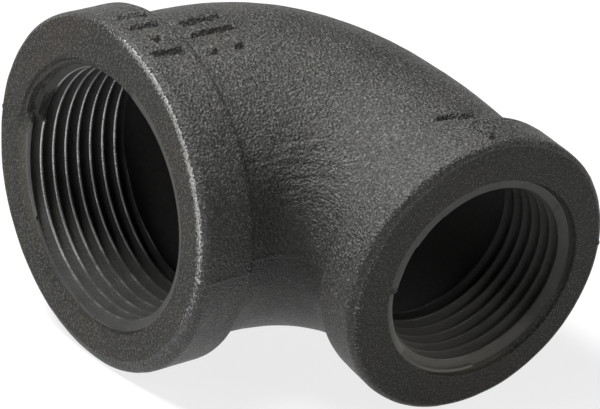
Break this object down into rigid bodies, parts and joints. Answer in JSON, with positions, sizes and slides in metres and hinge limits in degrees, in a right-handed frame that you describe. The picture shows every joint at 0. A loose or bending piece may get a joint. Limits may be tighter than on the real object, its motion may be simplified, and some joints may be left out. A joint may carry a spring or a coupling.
{
  "type": "reducing pipe elbow",
  "caption": "Right-angle reducing elbow for threaded pipe: one black malleable-iron casting with a banded female taper-threaded opening at each end, one larger than the other.",
  "frame": {"origin": "middle of the bottom of the bounding box, with both bore axes in the level plane 28.0 mm above it; the axes cross at (0.008466, 0.007209, 0.028)", "axes": "-X out of the large opening along its axis, -Y out of the small opening along its axis, +Z square to both axes"},
  "size_m": [0.0634, 0.0704, 0.056],
  "materials": {
    "black_iron": "black oxide casting skin, with machined faces and threads that are smoother and slightly brown"
  },
  "bodies": {
    "root": {"elbow_casting": "black_iron"}
  },
  "joints": []
}
